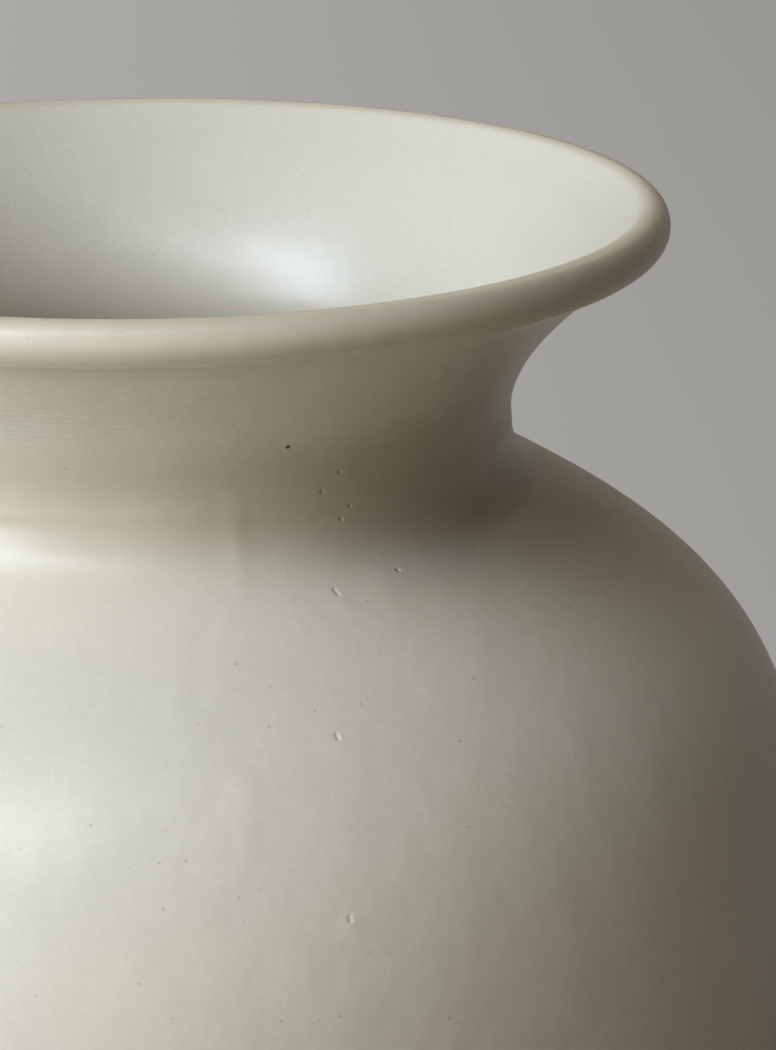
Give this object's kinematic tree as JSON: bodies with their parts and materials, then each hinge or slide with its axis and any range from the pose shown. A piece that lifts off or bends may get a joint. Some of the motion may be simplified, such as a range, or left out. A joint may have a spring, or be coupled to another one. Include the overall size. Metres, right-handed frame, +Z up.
{
  "type": "amphora vase",
  "caption": "Round-bellied amphora vase with a short waisted neck, a wide flared mouth and a rolled lip, standing on a low turned foot ring.",
  "frame": {"origin": "centre of the foot ring's resting face, on the axis that the vase was turned on", "axes": "+Z up along the turning axis, out of the mouth; X and Y lie on the surface that the vase stands on, and the picture looks along +Y"},
  "size_m": [0.207, 0.207, 0.26],
  "materials": {
    "glaze": "satin off-white glaze with fine pits and a few iron specks",
    "bare_clay": "unglazed fired buff stoneware, matt and slightly gritty"
  },
  "bodies": {
    "root": {"lip": "glaze", "neck": "glaze", "shoulder": "glaze", "lower_body": "glaze", "floor_disc": "glaze", "foot_ring": "bare_clay"}
  },
  "joints": []
}
